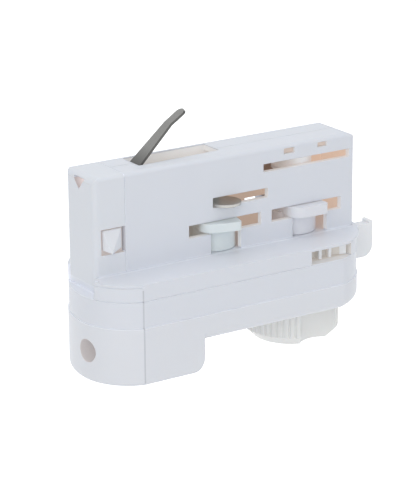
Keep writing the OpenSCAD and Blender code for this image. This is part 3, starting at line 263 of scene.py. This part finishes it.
def drawn_metal(name, colour, along, roughness=(0.28, 0.42), dark_sides=None, root=None):
    material, tree, surface = new_finish(name)
    texture = add_step(tree, "ShaderNodeTexCoord").outputs
    place = texture["Object"]
    stretch = tuple(LINES_ALONG if axis == along else LINES_ACROSS for axis in "XYZ")
    lines = add_step(tree, "ShaderNodeMapping", {"Vector": place, "Scale": stretch})
    brush = add_step(tree, "ShaderNodeTexNoise", {"Vector": lines.outputs[0], "Scale": 1, "Detail": 4})
    tone = mix_colours(tree, brush.outputs["Fac"], scaled(colour, 0.82), scaled(colour, 1.15))
    # Faces that look along Y take the darker colour.
    if dark_sides:
        facing = add_step(tree, "ShaderNodeSeparateXYZ", {0: texture["Normal"]}).outputs["Y"]
        y_facing = work_out(tree, work_out(tree, facing, 0.0, "ABSOLUTE"), 0.7, "GREATER_THAN")
        tone = mix_colours(tree, y_facing, tone, dark_sides)
    # Painted shade: the colour darkens below the given height, towards the root.
    if root:
        height = add_step(tree, "ShaderNodeSeparateXYZ", {0: place}).outputs["Z"]
        root_shade = add_step(tree, "ShaderNodeMapRange", {"Value": height, "From Min": root[0],
                                                      "From Max": root[1]})
        tone = mix_colours(tree, root_shade.outputs["Result"], scaled(colour, 0.35), tone)
    tree.links.new(tone, surface.inputs["Base Color"])
    polish = add_step(tree, "ShaderNodeMapRange", {"Value": brush.outputs["Fac"], "To Min": roughness[0],
                                                   "To Max": roughness[1]})
    tree.links.new(polish.outputs["Result"], surface.inputs["Roughness"])
    edge = add_step(tree, "ShaderNodeBevel", {"Radius": METAL_EDGE}, samples=6)
    relief = add_step(tree, "ShaderNodeBump", {"Strength": 0.12, "Distance": 0.02 * MM,
                                               "Height": brush.outputs["Fac"],
                                               "Normal": edge.outputs["Normal"]})
    tree.links.new(relief.outputs["Normal"], surface.inputs["Normal"])
    surface.inputs["Metallic"].default_value = 1.0
    return material


def new_piece(name, mesh_maker, material, body):
    mesh = bpy.data.meshes.new(name)
    mesh_maker.to_mesh(mesh)
    mesh_maker.free()
    mesh.materials.append(material)
    piece = bpy.data.objects.new(name, mesh)
    bpy.context.scene.collection.objects.link(piece)
    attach(piece, body)
    return piece


def turned(profile, centre, steps):
    lathe = bmesh.new()
    points = [lathe.verts.new((centre.x + r, centre.y, z)) for r, z in profile]
    edges = [lathe.edges.new((points[k - 1], points[k])) for k in range(len(points))]
    bmesh.ops.spin(lathe, geom=points + edges, cent=centre, axis=(0, 0, 1), angle=math.tau, steps=steps,
                   use_merge=True)
    bmesh.ops.remove_doubles(lathe, verts=lathe.verts, dist=1e-6)
    bmesh.ops.recalc_face_normals(lathe, faces=lathe.faces)
    return lathe


steel = drawn_metal("turned_steel", STEEL_GREY, "Z")
stem_mount = next(m for m in frame["record"]["mounts"] if m["name"] == "lamp_stem")
bush_low, bush_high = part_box("stem_bush")
bush_centre = Vector((stem_mount["pos_m"][0], stem_mount["pos_m"][1], 0))
bore_r = stem_mount["dims"]["r_mm"] * MM
collar_r = (bush_high.x - bush_low.x) / 2
collar_low = bush_high.z - COLLAR_HEIGHT
bush_profile = [(bore_r + BUSH_RIM, bush_low.z), (SHANK_RADIUS - BUSH_RIM, bush_low.z),
                (SHANK_RADIUS, bush_low.z + BUSH_RIM), (SHANK_RADIUS, collar_low), (collar_r, collar_low),
                (collar_r, bush_high.z - BUSH_RIM), (collar_r - BUSH_RIM, bush_high.z),
                (bore_r + BUSH_RIM, bush_high.z)]
for turn in range(int((bush_high.z - bush_low.z - 2 * BUSH_RIM) / THREAD_PITCH)):
    crest_z = bush_high.z - BUSH_RIM - turn * THREAD_PITCH
    bush_profile.append((bore_r, crest_z))
    bush_profile.append((bore_r + THREAD_DEPTH, crest_z - THREAD_PITCH / 2))
bush_profile.append((bore_r, bush_low.z + BUSH_RIM))
threaded_bush = new_piece("threaded_bush", turned(bush_profile, bush_centre, BUSH_STEPS), steel, "housing")
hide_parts("stem_bush")

# Fasteners and terminal: cross-slotted steel screws, and a cream plastic block with three clamps.
# The screws hold the layers of the flange and the leads of the lamp.
TERMINAL_CREAM = (0.80, 0.76, 0.64)
screw_steel = drawn_metal("screw_steel", scaled(STEEL_GREY, 1.1), "Z", (0.22, 0.36))
terminal_plastic = moulded_plastic("terminal_plastic", TERMINAL_CREAM)
finish_nodes(screw_steel, "housing_screws", "terminal_screws", "knob_screw", "earth_pin")
finish_nodes(terminal_plastic, "terminal_block")

# Conductors: three flat strips, stamped out of sheet brass. Each stands with its foot in the terminal
# block and rises to the height of its contact in the body.
BRASS_TONE = (0.72, 0.55, 0.27)
strip_brass = drawn_metal("strip_brass", BRASS_TONE, "X", (0.25, 0.40))
finish_nodes(strip_brass, "neutral_bar", "phase_bar", "earth_bar")

# Earth leaf and contact blades: stamped spring steel, dull grey, with fine lines from rolling.
# The leaf turns on a pin in the top recess; its sides that face along Y are darker, and painted shade
# darkens it towards its root.
LEAF_GREY = (0.29, 0.285, 0.272)
LEAF_SIDE_GREY = (0.115, 0.113, 0.108)
LEAF_ROOT = (24.0 * MM, 28.5 * MM)
leaf_steel = drawn_metal("leaf_steel", LEAF_GREY, "X", (0.34, 0.50), dark_sides=LEAF_SIDE_GREY, root=LEAF_ROOT)
blade_steel = drawn_metal("blade_steel", scaled(LEAF_GREY, 1.55), "Y", (0.30, 0.45))
finish_nodes(leaf_steel, "earth_contact")
finish_nodes(blade_steel, "neutral_contact", "phase_contact")

# Catch: a white moulded snap with a faceted point, which stands out of the end block's window.
# A small coil spring of steel wire pushes it out.
CATCH_WHITE = (0.79, 0.805, 0.845)
# Painted light: the root of the catch, inside the pocket, is tinted warm and glows.
CATCH_ROOT = ((0.62, 0.57, 0.55), (0.30, 0.22), ((-38.6, -6.0, 4.5), (-31.0, 1.0, 12.6)))
CATCH_COIL_RADIUS = 1.8 * MM
CATCH_WIRE_RADIUS = 0.2 * MM
CATCH_TURNS = 5
WIRE_SIDES = 10
STEPS_PER_TURN = 24
catch_plastic = moulded_plastic("catch_plastic", CATCH_WHITE, painted_light_regions=(CATCH_ROOT,))
finish_nodes(catch_plastic, "catch")
spring_wire = drawn_metal("spring_wire", STEEL_GREY, "Z")


def coil(centre, axis, start, end, mean_r, wire_r, turns):
    spring = bmesh.new()
    out = Vector((0, 0, 1))
    forward = Vector(axis)
    ring_at = centre + out * mean_r + forward * (start + wire_r)
    turn_round = forward.cross(out)
    facing = Matrix((out, forward, turn_round)).transposed().to_4x4()
    ring = bmesh.ops.create_circle(spring, cap_ends=True, segments=WIRE_SIDES, radius=wire_r,
                                   matrix=Matrix.Translation(ring_at) @ facing)
    steps = turns * STEPS_PER_TURN
    advance = forward * ((end - start - 2 * wire_r) / steps)
    geometry = list(spring.verts) + list(spring.edges) + list(spring.faces)
    bmesh.ops.spin(spring, geom=geometry, cent=centre, axis=forward, dvec=advance,
                   angle=math.tau * turns, steps=steps)
    bmesh.ops.recalc_face_normals(spring, faces=spring.faces)
    for face in spring.faces:
        face.smooth = len(face.verts) == 4
    return spring


def box_middle(node):
    low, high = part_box(node)
    return low, high, (low + high) / 2


low, high, middle = box_middle("catch_spring")
catch_coil = new_piece("catch_coil", coil(Vector((middle.x, 0, middle.z)), (0, 1, 0), low.y, high.y,
                                          CATCH_COIL_RADIUS, CATCH_WIRE_RADIUS, CATCH_TURNS),
                       spring_wire, "housing")
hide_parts("catch_spring")
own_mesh(catch_coil)

# Slider: one white moulding with the rack, the ribbed grip pad behind its window and the tab at the
# right end. A coil spring of steel wire pushes it back to the locked position.
# Painted light: the slider's white is lighter than the other mouldings' white, to make up for the shade
# over its tab.
SLIDER_WHITE = (0.875, 0.885, 0.905)
LOCK_COIL_RADIUS = 0.97 * MM
LOCK_WIRE_RADIUS = 0.18 * MM
LOCK_TURNS = 10
# Painted light: the ground behind the grip pad is tinted warm and glows.
PAD_GROUND = ((0.62, 0.59, 0.55), (0.06, 0.22), ((14.0, -15.2, -4.3), (31.0, -8.0, -0.65)))
slider_plastic = moulded_plastic("slider_plastic", SLIDER_WHITE, painted_light_regions=(PAD_GROUND,))
finish_nodes(slider_plastic, "slider")
low, high, middle = box_middle("lock_spring")
lock_coil = new_piece("lock_coil", coil(Vector((0, middle.y, middle.z)), (1, 0, 0), low.x, high.x,
                                        LOCK_COIL_RADIUS, LOCK_WIRE_RADIUS, LOCK_TURNS),
                      spring_wire, "housing")
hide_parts("lock_spring")
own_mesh(lock_coil)

# Lock shafts and selector: white moulded shafts with wings, hubs and a drum, turned by the rack
# or the knob. The left shaft's white is slightly greener than that of the others.
WING_WHITE = (0.785, 0.795, 0.84)
LEFT_WING_WHITE = (0.762, 0.818, 0.832)
# Painted light: the upper part of the drum is lightened with a weak glow.
DRUM_LIGHT = ((0.80, 0.80, 0.81), (0.10, 0.10), ((13.0, -7.0, 17.5), (32.5, 7.0, 24.6)))
left_plastic = moulded_plastic("left_plastic", LEFT_WING_WHITE)
right_plastic = moulded_plastic("right_plastic", WING_WHITE)
drum_plastic = moulded_plastic("drum_plastic", WING_WHITE, painted_light_regions=(DRUM_LIGHT,))
finish_nodes(left_plastic, "left_lock")
finish_nodes(right_plastic, "right_lock")
finish_nodes(drum_plastic, "selector_shaft")

# Selector knob: a cream moulding with grip grooves and finger scoops round its rim.
# A screw from below holds it on the selector shaft.
KNOB_CREAM = (0.84, 0.84, 0.825)
knob_plastic = moulded_plastic("knob_plastic", KNOB_CREAM)
finish_nodes(knob_plastic, "selector_knob")

# Stage: a pale floor well below the hanging adapter, which takes a faint shadow, with an even white
# surround and three soft panels of light.
FLOOR_HALF = 3.0
FLOOR_DROP = 70 * MM
FLOOR_GLOW = 0.75
FLOOR_PALE = (0.9, 0.9, 0.9, 1)


def seen_directly(tree):
    path = add_step(tree, "ShaderNodeLightPath").outputs
    shiny = work_out(tree, path["Is Glossy Ray"], path["Is Transmission Ray"], "MAXIMUM")
    return work_out(tree, path["Is Camera Ray"], shiny, "MAXIMUM")


floor_maker = bmesh.new()
bmesh.ops.create_grid(floor_maker, x_segments=1, y_segments=1, size=FLOOR_HALF,
                      matrix=Matrix.Translation((0, 0, cad_low.z - FLOOR_DROP)))
floor_mesh = bpy.data.meshes.new("floor")
floor_maker.to_mesh(floor_mesh)
floor_maker.free()
floor = bpy.data.objects.new("floor", floor_mesh)
bpy.context.scene.collection.objects.link(floor)
floor_finish, floor_tree, floor_surface = new_finish("floor_pale")
floor_surface.inputs["Base Color"].default_value = FLOOR_PALE
floor_surface.inputs["Roughness"].default_value = 0.9
floor_surface.inputs["Specular IOR Level"].default_value = 0.0
floor_surface.inputs["Emission Color"].default_value = (1, 1, 1, 1)
glow = work_out(floor_tree, seen_directly(floor_tree), FLOOR_GLOW, "MULTIPLY")
floor_tree.links.new(glow, floor_surface.inputs["Emission Strength"])
floor_mesh.materials.append(floor_finish)

SURROUND_TINT = (0.96, 0.98, 1.0, 1)
SURROUND_LEVEL = 0.60
PANEL_SIZE = 0.5
world = bpy.data.worlds.new("light_tent")
bpy.context.scene.world = world
world.use_nodes = True
surround = world.node_tree.nodes["Background"]
surround.inputs["Color"].default_value = SURROUND_TINT
direct = seen_directly(world.node_tree)
level = add_step(world.node_tree, "ShaderNodeMapRange", {"Value": direct, "To Min": SURROUND_LEVEL,
                                                         "To Max": 1.0})
world.node_tree.links.new(level.outputs["Result"], surround.inputs["Strength"])


def soft_lamp(name, place, power, tint):
    lamp = bpy.data.lights.new(name, "AREA")
    lamp.size = PANEL_SIZE
    lamp.energy = power
    lamp.color = tint
    holder = bpy.data.objects.new(name, lamp)
    holder.location = place
    holder.rotation_euler = (-Vector(place)).to_track_quat("-Z", "Y").to_euler()
    bpy.context.scene.collection.objects.link(holder)


soft_lamp("left_panel", (-0.55, -0.45, 0.35), 1.35, (1.0, 0.99, 0.97))
soft_lamp("front_panel", (0.25, -0.8, 0.25), 0.59, (0.97, 0.98, 1.0))
soft_lamp("top_panel", (0.0, 0.05, 0.75), 1.4, (0.98, 0.99, 1.0))

# Camera: at the photograph's angle, on a long lens, with the picture upright. The focal length is in
# pixels, the unit in which it was fitted to the edges of the adapter.
VIEW_AZIMUTH = math.radians(-32.872)
VIEW_ELEVATION = math.radians(17.845)
VIEW_ROLL = math.radians(0.430)
VIEW_PLACE = (-295.167 * MM, -452.329 * MM, 173.471 * MM)
FOCAL_PIXELS = 2236.94
PICTURE_HEIGHT = 489
right = Vector((math.cos(VIEW_AZIMUTH), math.sin(VIEW_AZIMUTH), 0))
back = Vector((math.sin(VIEW_AZIMUTH) * math.cos(VIEW_ELEVATION),
               -math.cos(VIEW_AZIMUTH) * math.cos(VIEW_ELEVATION), math.sin(VIEW_ELEVATION)))
up = back.cross(right)
rolled_right = right * math.cos(VIEW_ROLL) - up * math.sin(VIEW_ROLL)
rolled_up = right * math.sin(VIEW_ROLL) + up * math.cos(VIEW_ROLL)
camera_data = bpy.data.cameras.new("camera")
camera_data.sensor_width = 36
camera_data.lens = FOCAL_PIXELS * camera_data.sensor_width / PICTURE_HEIGHT
camera_data.clip_start = 0.01
camera = bpy.data.objects.new("camera", camera_data)
facing = Matrix((rolled_right, rolled_up, back)).transposed().to_4x4()
camera.matrix_world = Matrix.Translation(VIEW_PLACE) @ facing
bpy.context.scene.collection.objects.link(camera)
bpy.context.scene.camera = camera
bpy.context.scene.view_settings.view_transform = "Standard"
